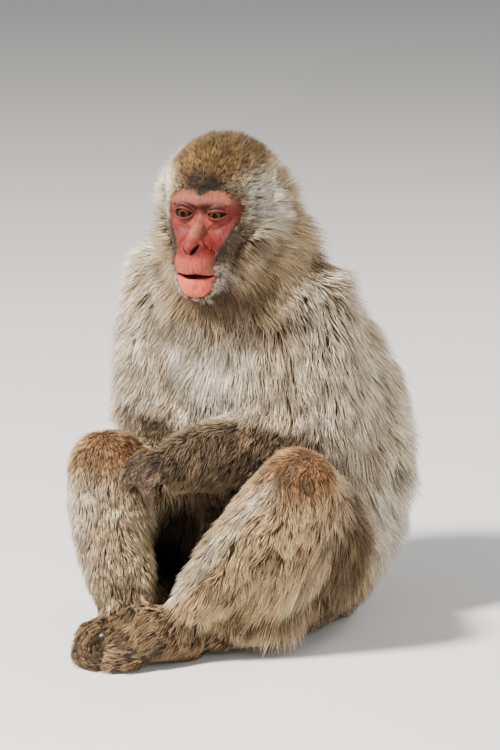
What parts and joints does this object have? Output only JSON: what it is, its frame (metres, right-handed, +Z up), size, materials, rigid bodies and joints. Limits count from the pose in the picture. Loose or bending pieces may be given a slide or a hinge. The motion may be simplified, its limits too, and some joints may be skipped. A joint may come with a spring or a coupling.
{
  "type": "life-size macaque monkey model",
  "caption": "Life-size sitting Japanese macaque with a red face and thick grey-brown coat, knees up and a forearm across its lap, resting flat on its seat and feet.",
  "frame": {"origin": "centre of the bounding box at floor level", "axes": "+Z up, -Y the way the chest faces, +X the animal's own left"},
  "size_m": [0.3162, 0.4502, 0.5099],
  "materials": {
    "coat": "thick grey-brown hair with paler tips, cream on the chest",
    "dark_coat": "short dark brown hair flecked with beige",
    "skin": "bare pink-red skin, satin",
    "eye": "wet glossy eyeball with an amber-brown iris",
    "nail": "dark grey-brown nail, satin"
  },
  "bodies": {
    "root": {"head": "coat", "neck": "coat", "trunk": "coat", "tail": "coat", "eye_left": "eye", "eye_right": "eye", "ear_left": "skin", "ear_right": "skin", "upper_arm_left": "coat", "upper_arm_right": "coat", "forearm_left": "dark_coat", "forearm_right": "dark_coat", "hand_left": "dark_coat", "hand_right": "dark_coat", "thigh_left": "coat", "thigh_right": "coat", "shin_left": "coat", "shin_right": "coat", "foot_left": "dark_coat", "foot_right": "dark_coat"}
  },
  "joints": []
}
